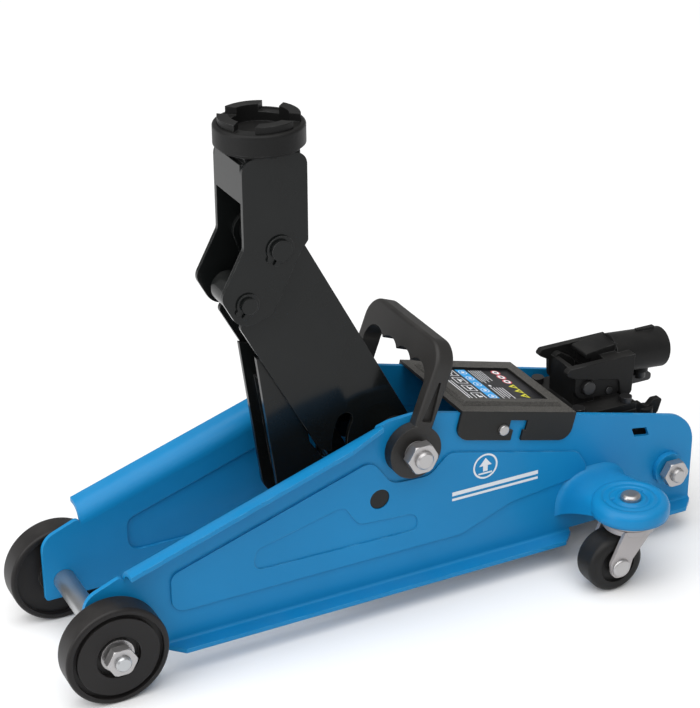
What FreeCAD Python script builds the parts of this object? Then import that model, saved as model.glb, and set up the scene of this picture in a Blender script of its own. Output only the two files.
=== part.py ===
import FreeCAD, Part
import math
import os

# Compact hydraulic trolley jack, stored raised. Millimetres.
# +X is forward (rollers and saddle), +Y is the jack's left, +Z is up.
# The modelling frame has X = 0 at the front axle and Z = 0 on the floor; every solid is moved
# by origin_x at the end, so that the origin is at mid length, mid width and floor level.

V = FreeCAD.Vector

# ---- clearances
run_fit = 0.05          # radial clearance of a shaft in its hole
side_gap = 0.3          # gap between faces that slide past each other

# ---- frame
plate_inner = 36.0      # inner face of a side plate, from the centre plane
plate_t = 3.0
plate_outer = plate_inner + plate_t
nose_x = 13.0           # front end of the side plates
rear_x = -423.5         # rear end of the side plates
web_bottom = 20.0       # lower edge of the flat web
foot_z = 15.0           # underside of the foot flange
foot_out = 11.3         # foot flange beyond the outer face
foot_front = -37.0
foot_gap_front = -327.0  # the foot flange is cut away where the caster swings
foot_gap_rear = -378.0
foot_bend = 2.0         # inside bend radius of the foot
lip_front = -13.0       # front end of the top lip
lip_rear = -182.0
lip_z = 80.0            # top of the lip at its front end
lip_slope = 0.3287      # rise per length going back
lip_out = 14.0          # lip beyond the outer face
lip_bend = 9.0          # inside radius of the rolled lip
deck_slope = 0.2493     # fall per length of the rear top edge
corner_r = 25.0         # rear top corner
nose_r = 13.0
panel_rise = 1.4        # raised stiffening panel
recess_depth = 0.9

# ---- front rollers and axle
roller_r = 32.5
roller_w = 17.0
axle_z = roller_r
axle_r = 7.0
spacer_w = 3.0
roller_in = plate_outer + spacer_w + side_gap
roller_out = roller_in + roller_w
hub_depth = 4.0         # recess of the hub face
hub_recess_r = 14.0
groove_in = 25.8
groove_out = 28.8
groove_depth = 3.0
stud_r = 5.0            # M10 ends
nut10_af = 17.0
nut10_h = 8.4
washer10_r = 10.5
washer_t = 2.0
stud_end = 3.0          # thread that stands out of a nut

# ---- rear tie bolt
tie_x = -403.5
tie_z = 46.5

# ---- lift linkage (raised position)
pivot_x = -205.0        # lift arm pivot
pivot_z = 112.0
arm_len = 161.4
arm_angle = 61.4        # above the horizontal
link_dx = 21.6          # tie link pivots, from the arm pivots
link_dz = -31.1
shaft_r = 8.0
shaft_end_r = 6.0       # M12 ends
nut12_af = 18.5
nut12_h = 10.0
handle_t = 8.0          # thickness of the carrying handle's legs
arm_half = 17.2         # outer half width of the lift arm
arm_t = 3.0
arm_back = 14.5         # web face behind the pivot line
arm_front = 45.0        # edge ahead of the pivot line
boss_r = 11.0
lobe_r = 13.0
rocker_t = 3.0
link_pin_r = 6.8        # flush ends in the side plates
link_shank_r = 4.6      # between the plates
link_half_y = 4.0
link_half_w = 6.5
eye_r = 10.0
eye_half_y = 10.5
slot_clear = 0.8        # clearance round the tie link pin in the arm
sweep = 81.4            # angle from raised to lowered

# ---- ram
ram_pin_arm = 64.5      # distance of the ram pin from the arm pivot
ram_pin_angle = -49.3
ram_roller_r = 10.0
ram_pin_r = 6.0
ram_z = 55.0
ram_gap = 1.7           # between the pusher face and the roller when raised
head_t = 11.0
head_half_y = 10.0
head_half_z = 11.5
rod_r = 9.0
rod_len = 100.0
cyl_r = 17.0
piston_r = 12.0
gland_front = -272.0
gland_len = 16.0
gland_af = 42.0
res_r = 27.0
res_t = 2.5
block_front = -358.0
block_rear = -414.0
block_slope_x = -400.0  # where the rear top corner slopes down
block_slope_z = 56.0
block_half_y = 31.0
block_bottom = 25.0
block_top = 79.0
top_pad_front = -331.0
top_pad_t = 8.0
top_pad_rear = -382.0
pad_half_y = 30.0
pad_top = 92.0

# ---- saddle
bracket_half = 20.5
bracket_t = 3.0
bracket_w = 41.2        # length of the bracket along X
bracket_back = 18.4     # head pin to the bracket's rear edge
bracket_rise = 57.8     # head pin to the bracket's top
knee_rise = 3.8         # head pin to the cheeks' front corner
web_rise = 31.3         # head pin to the front web's lower edge
lobe_link_r = 15.9
head_pin_r = 6.5
link_head_r = 5.0
saddle_r = 27.2
saddle_h = 14.6
saddle_gap = 0.3
crown_out = 24.2
crown_in = 17.5
tooth_h = 4.2
stem_r = 8.0

# ---- casters
caster_x = -343.5
caster_y = plate_outer + 44.0
dish_r = 25.5
dish_top = 62.0
dish_low = 51.5
sheet = 3.0
race_r = 18.5
race_low = 45.6
fork_top_t = 3.6
caster_r = 20.0
caster_w = 20.0
caster_trail = 14.0
fork_t = 2.6
fork_in = 11.0
caster_pin_r = 4.0
rivet_r = 4.0

# ---- pump and handle socket
socket_x = -350.0
socket_z = 110.0
ear_in = 9.8
ear_t = 4.9
cheek_t = 4.6           # side walls of the handle socket, outside the ears
socket_pin_r = 5.0
tube_r = 13.8
tube_bore = 11.5
tube_end = -419.5
tube_z = 117.4
tube_drop = 5.0         # degrees below the horizontal
cam_dx = -17.0
cam_dz = -6.0
cam_r = 5.0
piston_head_r = 8.5
piston_head_t = 3.0
piston_stem_r = 4.0
sleeve_r = 6.5
spring_seat_r = 11.0
seat_z = 86.0
bore_end = -390.0       # rear end of the ram bore
release_x = -395.5
release_y = 21.0
spring_wire = 0.7

screw_x = -404.0        # clamp screw
tube_len = 43.5
filler_x = -391.0
filler_y = -16.0

# ---- carrying handle
bail_lean = 20.0        # degrees back from upright
bail_reach = 70.5       # pivot to the bar's outer face
bail_w = 13.0
bar_h = 21.0
notch_pitch = 18.3
notch_count = 4
notch_r = 12.0
notch_deep = 4.5
boss_out_r = 17.8

# ---- cover
cover_front = -240.5
cover_rear = -326.0
cover_t = 2.0
cover_drop = 18.0

arm_cos = math.cos(math.radians(arm_angle))
arm_sin = math.sin(math.radians(arm_angle))
head_x = pivot_x + arm_len * arm_cos
head_z = pivot_z + arm_len * arm_sin
link_x = pivot_x + link_dx
link_z = pivot_z + link_dz
link_head_x = head_x + link_dx
link_head_z = head_z + link_dz
origin_x = -(roller_r + rear_x) / 2
bracket_rear = head_x - bracket_back
bracket_top = head_z + bracket_rise
knee_z = head_z + knee_rise
web_low = head_z + web_rise
bracket_front = bracket_rear + bracket_w
saddle_x = (bracket_front + bracket_rear) / 2
cheek_out = arm_half - arm_t
cheek_in = cheek_out - rocker_t
ram_x = pivot_x + ram_pin_arm * math.cos(math.radians(ram_pin_angle))
ram_pin_z = pivot_z + ram_pin_arm * math.sin(math.radians(ram_pin_angle))
face_x = ram_x - ram_roller_r - ram_gap
handle_in = plate_outer + side_gap
handle_out = handle_in + handle_t
pump_x = socket_x + cam_dx


# ---- shared construction
def box(x0, x1, y0, y1, z0, z1):
    return Part.makeBox(x1 - x0, y1 - y0, z1 - z0, V(x0, y0, z0))


def rod(r, x, y, z, length, axis):
    return Part.makeCylinder(r, length, V(x, y, z), axis)


def across(r, x, z, y0, y1):
    return rod(r, x, y0, z, y1 - y0, V(0, 1, 0))


def upright(r, x, y, z0, z1):
    return rod(r, x, y, z0, z1 - z0, V(0, 0, 1))


def along(r, x0, x1, y, z):
    return rod(r, x0, y, z, x1 - x0, V(1, 0, 0))


def mirror(shape):
    return shape.mirror(V(0, 0, 0), V(0, 1, 0))


def both(shape):
    return [shape, mirror(shape)]


def outline(corners):
    """A closed wire through (x, z, radius) corners, each rounded by a tangent arc."""
    n = len(corners)
    starts = []
    ends = []
    mids = []
    for i, (x, z, r) in enumerate(corners):
        p = V(x, 0, z)
        a = V(corners[i - 1][0], 0, corners[i - 1][1]) - p
        b = V(corners[(i + 1) % n][0], 0, corners[(i + 1) % n][1]) - p
        a.normalize()
        b.normalize()
        half = a.getAngle(b) / 2
        reach = r / math.tan(half) if r > 0 else 0.0
        starts.append(p + a * reach)
        ends.append(p + b * reach)
        if r > 0:
            bisector = a + b
            bisector.normalize()
            mids.append(p + bisector * (r / math.sin(half) - r))
        else:
            mids.append(p)
    edges = []
    for i in range(n):
        if corners[i][2] > 0:
            edges.append(Part.Arc(starts[i], mids[i], ends[i]).toShape())
        nxt = (i + 1) % n
        if ends[i].distanceToPoint(starts[nxt]) > 1e-6:
            edges.append(Part.makeLine(ends[i], starts[nxt]))
    return Part.Wire(edges)


def side_shape(corners, y0, y1):
    """A flat piece with an outline in the XZ plane, from y0 to y1."""
    wire = outline(corners)
    wire.translate(V(0, y0, 0))
    return Part.Face(wire).extrude(V(0, y1 - y0, 0))


def joined(shapes):
    result = shapes[0].fuse(shapes[1:])
    return result.removeSplitter()


def hexagon(af, h, base, axis, bore):
    """A hex nut with chamfered corners, from base along axis."""
    r = af / math.sqrt(3)
    points = [V(r * math.cos(math.radians(60 * i)), r * math.sin(math.radians(60 * i)), 0) for i in range(7)]
    prism = Part.Face(Part.makePolygon(points)).extrude(V(0, 0, h))
    chamfer = r - af / 2
    cone = Part.makeCone(r + 0.6 * h, r - 0.6 * chamfer, 0.6 * (h + chamfer), V(0, 0, h - 0.6 * (h + chamfer)))
    nut = prism.common(cone)
    if bore > 0:
        nut = nut.cut(Part.makeCylinder(bore, h + 2, V(0, 0, -1)))
    nut.Placement = FreeCAD.Placement(base, FreeCAD.Rotation(V(0, 0, 1), axis))
    return nut


def washer(r, bore, x, z, y0, y1):
    return across(r, x, z, y0, y1).cut(across(bore, x, z, y0 - 1, y1 + 1))


def deck_z(x):
    """Height of the plates' rear top edge at x."""
    return 126.7 + deck_slope * (x + 240.5)


def tilted(shape):
    """Lean a shape, drawn level with its front top edge at cover_front, to the rear deck's slope."""
    shape.rotate(V(cover_front, 0, deck_z(cover_front)), V(0, 1, 0), -math.degrees(math.atan(deck_slope)))
    return shape


# ---- frame
def foot_strip(x0, x1):
    """Turned foot flange of the left plate from x0 back to x1."""
    outer = foot_bend + plate_t
    bend_y = plate_inner + outer
    bend_z = foot_z + outer
    tip = plate_outer + foot_out
    q = math.sqrt(0.5)
    a = V(x0, plate_inner, bend_z + 2)
    b = V(x0, plate_inner, bend_z)
    c = V(x0, bend_y, foot_z)
    d = V(x0, tip, foot_z)
    e = V(x0, tip, foot_z + plate_t)
    f = V(x0, bend_y, foot_z + plate_t)
    g = V(x0, plate_outer, bend_z)
    h = V(x0, plate_outer, bend_z + 2)
    arc_out = Part.Arc(b, V(x0, bend_y - q * outer, bend_z - q * outer), c).toShape()
    arc_in = Part.Arc(f, V(x0, bend_y - q * foot_bend, bend_z - q * foot_bend), g).toShape()
    lines = [Part.makeLine(p, r) for p, r in ((a, b), (c, d), (d, e), (e, f), (g, h), (h, a))]
    wire = Part.Wire([lines[0], arc_out, lines[1], lines[2], lines[3], arc_in, lines[4], lines[5]])
    strip = Part.Face(wire).extrude(V(x1 - x0, 0, 0))
    cut = foot_out - 2
    corners = [(x0, 1), (x1, -1)]
    for x, way in corners:
        tri = Part.makePolygon([V(x, tip, 0), V(x, tip - cut, 0), V(x - way * cut, tip, 0), V(x, tip, 0)])
        strip = strip.cut(Part.Face(tri).extrude(V(0, 0, foot_z + 20)))
    return strip


def top_lip():
    """Rolled lip along the left plate's front slope."""
    outer = lip_bend + plate_t
    bend_y = plate_inner + outer
    bend_z = lip_z - outer
    tip = plate_outer + lip_out
    q = math.sqrt(0.5)
    x0 = lip_front
    a = V(x0, plate_inner, bend_z - 3)
    b = V(x0, plate_inner, bend_z)
    c = V(x0, bend_y, lip_z)
    d = V(x0, tip, lip_z)
    e = V(x0, tip, lip_z - plate_t)
    f = V(x0, bend_y, lip_z - plate_t)
    g = V(x0, plate_outer, bend_z)
    h = V(x0, plate_outer, bend_z - 3)
    arc_out = Part.Arc(b, V(x0, bend_y - q * outer, bend_z + q * outer), c).toShape()
    arc_in = Part.Arc(f, V(x0, bend_y - q * lip_bend, bend_z + q * lip_bend), g).toShape()
    lines = [Part.makeLine(p, r) for p, r in ((a, b), (c, d), (d, e), (e, f), (g, h), (h, a))]
    wire = Part.Wire([lines[0], arc_out, lines[1], lines[2], lines[3], arc_in, lines[4], lines[5]])
    length = lip_front - lip_rear
    strip = Part.Face(wire).extrude(V(-length, 0, lip_slope * length))
    taper = [V(lip_rear, bend_y, 0), V(lip_rear - 1, bend_y, 0), V(lip_rear - 1, tip + 1, 0),
             V(lip_rear + 2 * lip_out, tip + 1, 0), V(lip_rear, bend_y, 0)]
    return strip.cut(Part.Face(Part.makePolygon(taper)).extrude(V(0, 0, 200)))


def web_corners():
    lip_low = lip_z - lip_bend - plate_t - 2
    front_top = lip_low
    rear_of_lip = lip_low + lip_slope * (lip_front - lip_rear)
    crest = deck_z(pivot_x - 18)
    return [(nose_x, web_bottom, 2.0),
            (nose_x, axle_z + 31, nose_r),
            (lip_front, lip_z - 6, 3.0),
            (lip_front - 0.1, front_top, 0),
            (lip_rear, rear_of_lip, 0),
            (lip_rear, pivot_z + 19, 2.0),
            (pivot_x + 14, crest + 2.5, 12.0),
            (pivot_x - 6, crest + 3.6, 30.0),
            (rear_x, deck_z(rear_x), corner_r),
            (rear_x, web_bottom, 0)]


def panel_corners(inset):
    """Stiffening panel: runs low along the plate and dips round the handle boss."""
    low = 39.0 + inset
    return [(-42 - inset, low, 9.0),
            (-42 - inset, 65.5 - inset, 7.0),
            (pivot_x + 27, 109.5 - inset, 10.0),
            (pivot_x + 13, 89.5 - inset, 12.0),
            (pivot_x - 14, 88.5 - inset, 12.0),
            (pivot_x - 28, 101.5 - inset, 10.0),
            (-330 + inset, 77.5 - inset, 8.0),
            (-341 + inset, 60 + inset, 6.0),
            (-280 + inset, 53 + inset, 22.0),
            (-243 + inset, low, 18.0)]


def recess_corners():
    """Shallow inner recess that dips under the link pin."""
    return [(-95, 53.5, 6.0),
            (-99, 68, 6.0),
            (link_x + 25, link_z + 1.5, 7.0),
            (link_x + 15, link_z - 14.5, 9.0),
            (link_x - 27, link_z - 17, 7.0),
            (link_x - 27, 51.5, 4.0)]


def slanted_slot(x, z):
    """Four-cornered window near the rear end of the plates."""
    return side_shape([(x - 7, z - 4, 0.8), (x + 5, z - 2, 0.8), (x + 8, z + 5, 0.8), (x - 4, z + 3, 0.8)],
                      0, plate_outer + 5)


def side_plate_left():
    web = side_shape(web_corners(), plate_inner, plate_outer)
    foot_a = foot_strip(foot_front, foot_gap_front)
    foot_b = foot_strip(foot_gap_rear, rear_x)
    plate = joined([web, foot_a, foot_b, top_lip()])
    raised = side_shape(panel_corners(0.0), plate_outer - 1, plate_outer + panel_rise)
    hollow = side_shape(panel_corners(1.5), plate_inner - 1, plate_inner + panel_rise)
    plate = joined([plate, raised]).cut(hollow)
    recess = side_shape(recess_corners(), plate_outer + panel_rise - recess_depth, plate_outer + 5)
    plate = plate.cut(recess)
    boss = across(20.5, pivot_x, pivot_z, plate_inner, plate_outer)
    plate = joined([plate, boss])
    for r, x, z in ((shaft_r + run_fit, pivot_x, pivot_z),
                    (link_pin_r + run_fit, link_x, link_z),
                    (axle_r + run_fit, 0, axle_z),
                    (stud_r + run_fit, tie_x, tie_z)):
        plate = plate.cut(across(r, x, z, 0, plate_outer + 10))
    return plate.cut(slanted_slot(-380.5, 78.5))


def caster_bracket_left():
    """Pressed arm from the plate's flank to a round dish over the caster."""
    def section(y, half, low, top):
        x = caster_x
        points = [V(x - half, y, low), V(x - half, y, top - 6), V(x - half + 9, y, top), V(x + half - 9, y, top),
                  V(x + half, y, top - 6), V(x + half, y, low), V(x - half, y, low)]
        return Part.makePolygon(points)
    near = caster_y - 6
    arm = Part.makeLoft([section(plate_outer, 41, dish_low - 14, dish_top + 15),
                         section(near, dish_r - 1, dish_low, dish_top)], True, True)
    inner = Part.makeLoft([section(plate_outer - 1, 41 - sheet, dish_low - 24, dish_top + 15 - sheet),
                           section(near - sheet, dish_r - 1 - sheet, dish_low - 10, dish_top - sheet)], True, True)
    dish = upright(dish_r, caster_x, caster_y, dish_low, dish_top)
    dish = dish.makeFillet(4.0, [e for e in dish.Edges if abs(e.BoundBox.ZMin - dish_top) < 0.01
                                 and abs(e.BoundBox.ZMax - dish_top) < 0.01])
    body = joined([arm, dish])
    body = body.cut(inner)
    body = body.cut(upright(dish_r - sheet, caster_x, caster_y, dish_low - 1, dish_top - sheet))
    ring = upright(13.5, caster_x, caster_y, dish_top - 1, dish_top + 5)
    ring = ring.cut(upright(10.5, caster_x, caster_y, dish_top - 2, dish_top + 6))
    body = body.cut(ring)
    body = body.cut(upright(7.5, caster_x, caster_y, dish_top - 1.2, dish_top + 5))
    panel = side_shape(panel_corners(0.0), plate_outer - 1, plate_outer + panel_rise)
    body = body.cut(panel)
    return body.cut(upright(caster_pin_r + run_fit, caster_x, caster_y, 0, 200))


def front_axle():
    middle = across(axle_r, 0, axle_z, -(roller_out - hub_depth - 0.2), roller_out - hub_depth - 0.2)
    reach = roller_out - hub_depth + washer_t + nut10_h + stud_end
    stud = across(stud_r, 0, axle_z, -reach, reach)
    stud = stud.makeChamfer(1.0, [e for e in stud.Edges if e.Curve.TypeId == "Part::GeomCircle"])
    return joined([middle, stud])


def roller_left():
    y0 = roller_in
    y1 = roller_out
    wheel = across(roller_r, 0, axle_z, y0, y1)
    rims = [e for e in wheel.Edges if e.Curve.TypeId == "Part::GeomCircle"]
    wheel = wheel.makeFillet(2.0, rims)
    wheel = wheel.cut(washer(groove_out, groove_in, 0, axle_z, y1 - groove_depth, y1 + 1))
    wheel = wheel.cut(washer(groove_out, hub_recess_r, 0, axle_z, y0 - 1, y0 + groove_depth))
    recess = across(hub_recess_r, 0, axle_z, y1 - hub_depth, y1 + 1)
    wheel = wheel.cut(recess)
    return wheel.cut(across(axle_r + run_fit, 0, axle_z, y0 - 1, y1 + 1))


def roller_spacers():
    return both(washer(axle_r + 4, axle_r + run_fit, 0, axle_z, plate_outer, plate_outer + spacer_w))


def roller_washers():
    y0 = roller_out - hub_depth + side_gap / 2
    return both(washer(washer10_r, stud_r + run_fit, 0, axle_z, y0, y0 + washer_t))


def axle_nuts():
    y0 = roller_out - hub_depth + side_gap / 2 + washer_t
    return both(hexagon(nut10_af, nut10_h, V(0, y0, axle_z), V(0, 1, 0), stud_r + run_fit))


def rear_tie_bolt():
    reach = plate_outer + 4 + nut10_h + stud_end
    bolt = across(stud_r, tie_x, tie_z, -reach, reach)
    return bolt.makeChamfer(1.0, [e for e in bolt.Edges if e.Curve.TypeId == "Part::GeomCircle"])


def tie_bolt_washers():
    return both(washer(11.5, stud_r + run_fit, tie_x, tie_z, plate_outer, plate_outer + 4))


def tie_bolt_nuts():
    return both(hexagon(nut10_af, nut10_h, V(tie_x, plate_outer + 4, tie_z), V(0, 1, 0), stud_r + run_fit))


# ---- cover over the pump
def cover_plate():
    top = deck_z(cover_front)
    length = (cover_front - cover_rear) * math.sqrt(1 + deck_slope ** 2)
    x1 = cover_front
    x0 = cover_front - length
    half = plate_outer + side_gap + cover_t
    z0 = top + 0.7
    sheet_top = box(x0, x1, -half, half, z0, z0 + cover_t)
    flange = side_shape([(x1, z0 + cover_t, 0), (x1, z0 - cover_drop, 9.0),
                         (x0, z0 - cover_drop, 9.0), (x0, z0 + cover_t, 0)], half - cover_t, half)
    hook = box(x1 - 50, x1 - 42, half - 5, half + 5, z0 - cover_drop - 1, z0 - 4)
    hook_top = box(x1 - 52, x1 - 38.5, half - 5, half + 5, z0 - 11.0, z0 - 4)
    flange = flange.cut(hook).cut(hook_top)
    rim = box(x0 + 6, x1 - 6, -half + 9, half - 9, z0 + cover_t, z0 + cover_t + 2.2)
    rim = rim.makeChamfer(2.0, [e for e in rim.Edges if abs(e.CenterOfMass.z - z0 - cover_t - 2.2) < 0.01])
    rim = rim.cut(box(x0 + 13, x1 - 13, -half + 16, half - 16, z0, z0 + 10))
    cover = joined([sheet_top, flange, mirror(flange), rim])
    return tilted(cover)


def cover_screws():
    top = deck_z(cover_front)
    half = plate_outer + side_gap + cover_t
    screws = []
    for side in (1, -1):
        base = V(cover_front - 34.2, side * half, top - 9.8)
        head = Part.makeCylinder(3.6, 2.4, base, V(0, side, 0))
        head = head.makeFillet(1.0, [e for e in head.Edges if abs(e.CenterOfMass.y - side * (half + 2.4)) < 0.01])
        screws.append(tilted(head))
    return screws


def label_plate():
    top = deck_z(cover_front)
    length = (cover_front - cover_rear) * math.sqrt(1 + deck_slope ** 2)
    half = plate_outer + side_gap + cover_t
    z0 = top + 0.7 + cover_t
    plate = box(cover_front - length + 13.5, cover_front - 13.5, -half + 16.5, half - 16.5, z0, z0 + 0.8)
    return tilted(plate)


# ---- lift arm, link and saddle bracket
def lift_pivot_shaft():
    half = handle_out + side_gap / 2
    middle = across(shaft_r, pivot_x, pivot_z, -half, half)
    reach = half + nut12_h + stud_end
    ends = across(shaft_end_r, pivot_x, pivot_z, -reach, reach)
    ends = ends.makeChamfer(1.2, [e for e in ends.Edges if e.Curve.TypeId == "Part::GeomCircle"])
    return joined([middle, ends])


def pivot_spacers():
    return both(washer(shaft_r + 4, shaft_r + run_fit, pivot_x, pivot_z, arm_half + side_gap, plate_inner))


def pivot_nuts():
    y0 = handle_out + side_gap / 2
    return both(hexagon(nut12_af, nut12_h, V(pivot_x, y0, pivot_z), V(0, 1, 0), shaft_end_r + run_fit))


def link_pin():
    """Stepped pin: thick ends flush in the plates, a thinner shank across the arm."""
    end = across(link_pin_r, link_x, link_z, plate_inner, plate_outer + panel_rise / 2)
    shank = across(link_shank_r, link_x, link_z, -plate_inner - 1, plate_inner + 1)
    return joined([end, mirror(end), shank])


def on_arm(u, n):
    """A point u along the arm from its pivot and n ahead of the pivot line."""
    return (pivot_x + u * arm_cos + n * arm_sin, pivot_z + u * arm_sin - n * arm_cos)


def swept_slot(y0, y1):
    """Room for the tie link pin as the arm swings past it."""
    mid_r = math.hypot(link_dx, link_dz)
    start = math.degrees(math.atan2(link_dz, link_dx))
    half = link_shank_r + slot_clear
    outer = across(mid_r + half, pivot_x, pivot_z, y0, y1)
    ring = outer.cut(across(mid_r - half, pivot_x, pivot_z, y0 - 1, y1 + 1))
    reach = 4 * mid_r
    fan = [V(pivot_x, y0, pivot_z)]
    steps = 8
    for i in range(steps + 1):
        a = math.radians(start + sweep * i / steps)
        fan.append(V(pivot_x + reach * math.cos(a), y0, pivot_z + reach * math.sin(a)))
    fan.append(fan[0])
    sector = Part.Face(Part.makePolygon(fan)).extrude(V(0, y1 - y0, 0))
    ends = []
    for a in (start, start + sweep):
        x = pivot_x + mid_r * math.cos(math.radians(a))
        z = pivot_z + mid_r * math.sin(math.radians(a))
        ends.append(across(half, x, z, y0, y1))
    return ring.common(sector).fuse(ends)


def lift_arm():
    top_u = arm_len + lobe_r
    cut_u = arm_len - 29
    corners = [on_arm(-18, -arm_back) + (8.0,),
               on_arm(top_u, -arm_back) + (lobe_r,),
               on_arm(top_u, lobe_r - 1) + (lobe_r - 2,),
               on_arm(cut_u + 12, 17) + (6.0,),
               on_arm(cut_u, arm_front) + (4.0,),
               on_arm(26, arm_front) + (4.0,),
               on_arm(-18, 12) + (14.0,)]
    cheek = side_shape(corners, arm_half - arm_t, arm_half)
    web = side_shape([on_arm(8, -arm_back) + (0,), on_arm(arm_len - 10, -arm_back) + (0,),
                      on_arm(arm_len - 10, arm_t - arm_back) + (0,), on_arm(8, arm_t - arm_back) + (0,)],
                     -arm_half, arm_half)
    boss = across(boss_r, pivot_x, pivot_z, -arm_half, arm_half)
    head_boss = across(head_pin_r + 3.5, head_x, head_z, -arm_half, arm_half)
    arm = joined([cheek, mirror(cheek), web, boss, head_boss])
    arm = arm.cut(swept_slot(-arm_half - 1, arm_half + 1))
    arm = arm.cut(across(shaft_r + run_fit, pivot_x, pivot_z, -50, 50))
    return arm.cut(across(head_pin_r + run_fit, head_x, head_z, -50, 50))


def rocker():
    """Inner channel: carries the ram pin and stiffens the arm's lower front."""
    front_low = (-128.0, 90.0)
    front_top = (-113.5, 183.0)
    cheek = side_shape([front_top + (0,),
                        (-127.2, 79.0, 13.0),
                        (ram_x + 4, ram_pin_z - 14.2, 13.0),
                        (ram_x - 14.2, ram_pin_z - 14.2, 12.0),
                        (ram_x - 14.2, ram_pin_z + 12, 6.0),
                        (-148, 118, 6.0),
                        (-140, 176, 0)], cheek_in, cheek_out)
    lean = (front_top[0] - front_low[0]) / (front_top[1] - front_low[1])
    back = 5.0
    z0 = 93.0
    z1 = 159.0
    web = side_shape([(front_low[0] - back, z0, 0),
                      (front_low[0] - back + lean * (z1 - z0), z1, 0),
                      (front_low[0] - back - rocker_t + lean * (z1 - z0), z1, 0),
                      (front_low[0] - back - rocker_t, z0, 0)], -cheek_in - 0.1, cheek_in + 0.1)
    keep_out = math.hypot(link_dx, link_dz) + link_shank_r + slot_clear
    cheek = cheek.cut(across(keep_out, pivot_x, pivot_z, 0, 50))
    body = joined([cheek, mirror(cheek), web])
    return body.cut(across(ram_pin_r + run_fit, ram_x, ram_pin_z, -50, 50))


def ram_pin():
    pin = across(ram_pin_r, ram_x, ram_pin_z, -cheek_out - 1.5, cheek_out + 1.5)
    return pin.makeFillet(1.0, [e for e in pin.Edges if e.Curve.TypeId == "Part::GeomCircle"])


def ram_roller():
    half = cheek_in - side_gap
    return washer(ram_roller_r, ram_pin_r + run_fit, ram_x, ram_pin_z, -half, half)


def tie_link():
    lower = across(eye_r, link_x, link_z, -eye_half_y, eye_half_y)
    upper = across(eye_r, link_head_x, link_head_z, -eye_half_y, eye_half_y)
    dx = link_head_x - link_x
    dz = link_head_z - link_z
    length = math.hypot(dx, dz)
    nx = dz / length * link_half_w
    nz = -dx / length * link_half_w
    strap = side_shape([(link_x + nx, link_z + nz, 0), (link_head_x + nx, link_head_z + nz, 0),
                        (link_head_x - nx, link_head_z - nz, 0), (link_x - nx, link_z - nz, 0)],
                       -link_half_y, link_half_y)
    body = joined([lower, upper, strap])
    body = body.cut(across(link_shank_r + run_fit, link_x, link_z, -50, 50))
    return body.cut(across(link_head_r + run_fit, link_head_x, link_head_z, -50, 50))


def saddle_bracket():
    """Pressed channel: two cheeks, a short front web and a top for the saddle."""
    inner = bracket_half - bracket_t
    cheek = side_shape([(bracket_front, bracket_top, 8.0),
                        (bracket_front, knee_z, 6.0),
                        (link_head_x + lobe_link_r + 0.8, link_head_z + 6, 8.0),
                        (link_head_x + 5, link_head_z - lobe_link_r, 12.0),
                        (link_head_x - 16, link_head_z - 10, 10.0),
                        (bracket_rear + 4.3, knee_z - 7, 3.0),
                        (bracket_rear, knee_z - 1.5, 2.0),
                        (bracket_rear, bracket_top, 8.0)], inner, bracket_half)
    web = box(bracket_front - bracket_t, bracket_front, -inner - 0.1, inner + 0.1, web_low, bracket_top - 3)
    top = box(bracket_rear + 3, bracket_front - 3, -inner - 0.1, inner + 0.1, bracket_top - 4, bracket_top)
    body = joined([cheek, mirror(cheek), web, top])
    body = body.cut(across(head_pin_r + run_fit, head_x, head_z, -50, 50))
    body = body.cut(across(link_head_r + run_fit, link_head_x, link_head_z, -50, 50))
    return body.cut(upright(stem_r + run_fit, saddle_x, 0, bracket_top - 10, bracket_top + 10))


def headed_pin(r, head_r, x, z):
    """Pin with a flat head on the right side and a circlip groove on the left."""
    shank = across(r, x, z, -bracket_half, bracket_half + 3.5)
    head = across(head_r, x, z, -bracket_half - 3.2, -bracket_half)
    head = head.makeFillet(1.2, [e for e in head.Edges if abs(e.CenterOfMass.y + bracket_half + 3.2) < 0.01])
    groove = washer(r + 1, r - 0.8, x, z, bracket_half + 0.1, bracket_half + 1.5)
    return joined([shank, head]).cut(groove)


def head_pin():
    return headed_pin(head_pin_r, head_pin_r + 4, head_x, head_z)


def link_head_pin():
    return headed_pin(link_head_r, link_head_r + 4, link_head_x, link_head_z)


def circlips():
    clips = []
    for r, x, z in ((head_pin_r, head_x, head_z), (link_head_r, link_head_x, link_head_z)):
        y0 = bracket_half + 0.2
        ring = washer(r + 2.2, r - 0.7, x, z, y0, y0 + 1.2)
        ears = [across(1.8, x - d * 2.6, z - r - 2.0, y0, y0 + 1.2) for d in (1, -1)]
        ring = joined([ring] + ears)
        gap = box(x - 1.3, x + 1.3, y0 - 1, y0 + 3, z - r - 6, z)
        clip = ring.cut(gap)
        clip.rotate(V(x, 0, z), V(0, 1, 0), -35)
        clips.append(clip)
    return clips


# ---- saddle
def saddle_cup():
    z0 = bracket_top + saddle_gap
    z1 = z0 + saddle_h
    cup = upright(saddle_r, saddle_x, 0, z0, z1)
    cup = cup.makeFillet(2.0, [e for e in cup.Edges if e.Curve.TypeId == "Part::GeomCircle"])
    neck = upright(saddle_r + 1, saddle_x, 0, z0 - 1, z0 + 2.2)
    neck = neck.cut(upright(saddle_r - 2.4, saddle_x, 0, z0 - 2, z0 + 3))
    cup = cup.cut(neck)
    cup = cup.cut(upright(crown_out + run_fit, saddle_x, 0, z0 + 6, z1 + 1))
    stem = upright(stem_r, saddle_x, 0, bracket_top - 6.4, z0 + 1)
    lip = upright(stem_r - 1, saddle_x, 0, bracket_top - 9, bracket_top - 6)
    return joined([cup, stem, lip])


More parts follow.
